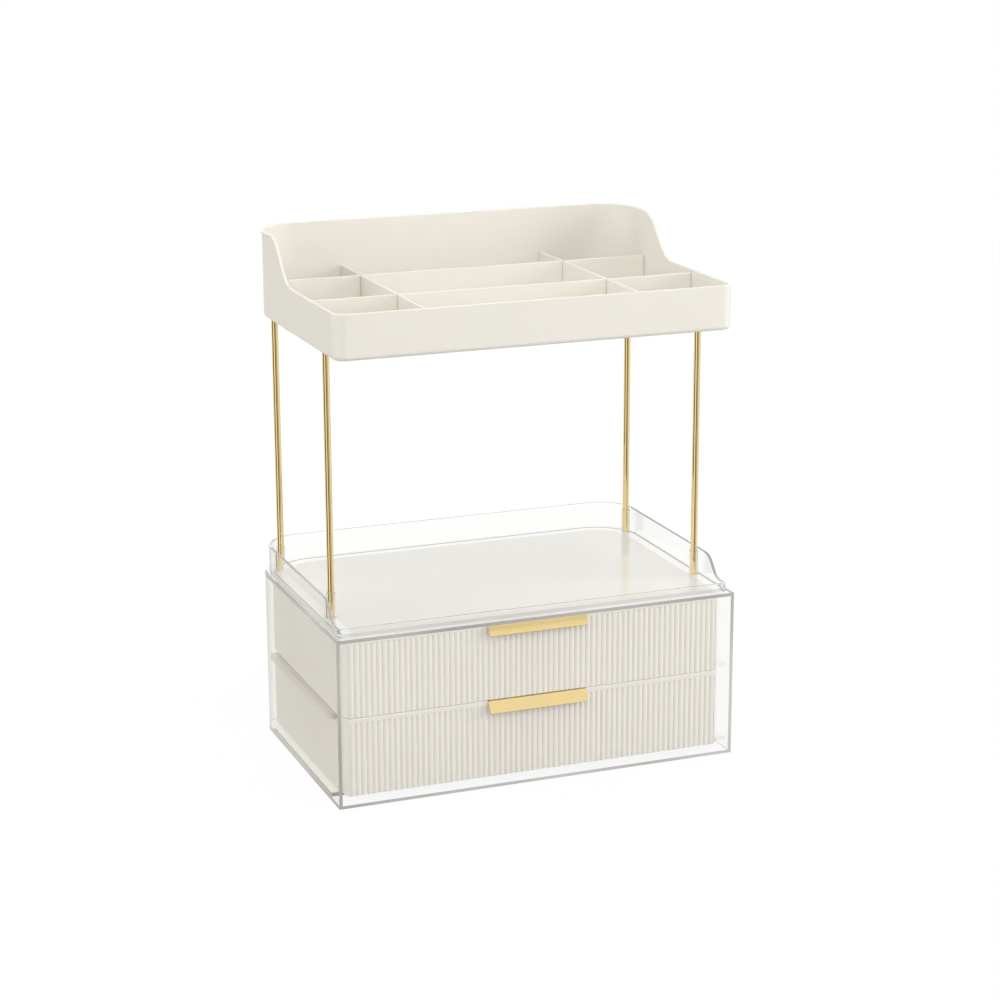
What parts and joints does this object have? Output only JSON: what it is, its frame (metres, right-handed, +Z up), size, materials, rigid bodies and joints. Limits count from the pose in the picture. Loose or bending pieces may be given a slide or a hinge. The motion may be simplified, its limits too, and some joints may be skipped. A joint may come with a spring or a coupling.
{
  "type": "makeup organizer",
  "caption": "Makeup organizer: clear case with reeded slide-out drawers, a clear shelf tray on top, and a divided cream tray raised on thin gold rods.",
  "frame": {"origin": "on the table under the middle of the case", "axes": "+Z up, front with the drawers towards -Y, +X to the right seen from the front"},
  "size_m": [0.3, 0.198, 0.378],
  "materials": {
    "clear_plastic": "clear polished",
    "cream_plastic": "satin",
    "gold_rod": "polished",
    "gold_handle": "satin"
  },
  "bodies": {
    "frame": {"case_shell": "clear_plastic", "gallery_tray": "clear_plastic", "mid_rail_left": "clear_plastic", "mid_rail_right": "clear_plastic", "floor_rail_left": "clear_plastic", "floor_rail_right": "clear_plastic", "rod_front_left": "gold_rod", "rod_front_right": "gold_rod", "rod_back_left": "gold_rod", "rod_back_right": "gold_rod", "upper_tray": "cream_plastic", "divider_rear_long": "cream_plastic", "divider_front_long": "cream_plastic", "divider_left_cross": "cream_plastic", "divider_right_cross": "cream_plastic"},
    "lower_drawer_body": {"lower_drawer": "cream_plastic", "lower_handle": "gold_handle"},
    "upper_drawer_body": {"upper_drawer": "cream_plastic", "upper_handle": "gold_handle"}
  },
  "joints": [
    {"name": "lower_drawer_slide", "type": "slide", "parent": "frame", "child": "lower_drawer_body", "axis": [0, -1, 0], "range_m": [0, 0.13]},
    {"name": "upper_drawer_slide", "type": "slide", "parent": "frame", "child": "upper_drawer_body", "axis": [0, -1, 0], "range_m": [0, 0.13]}
  ]
}
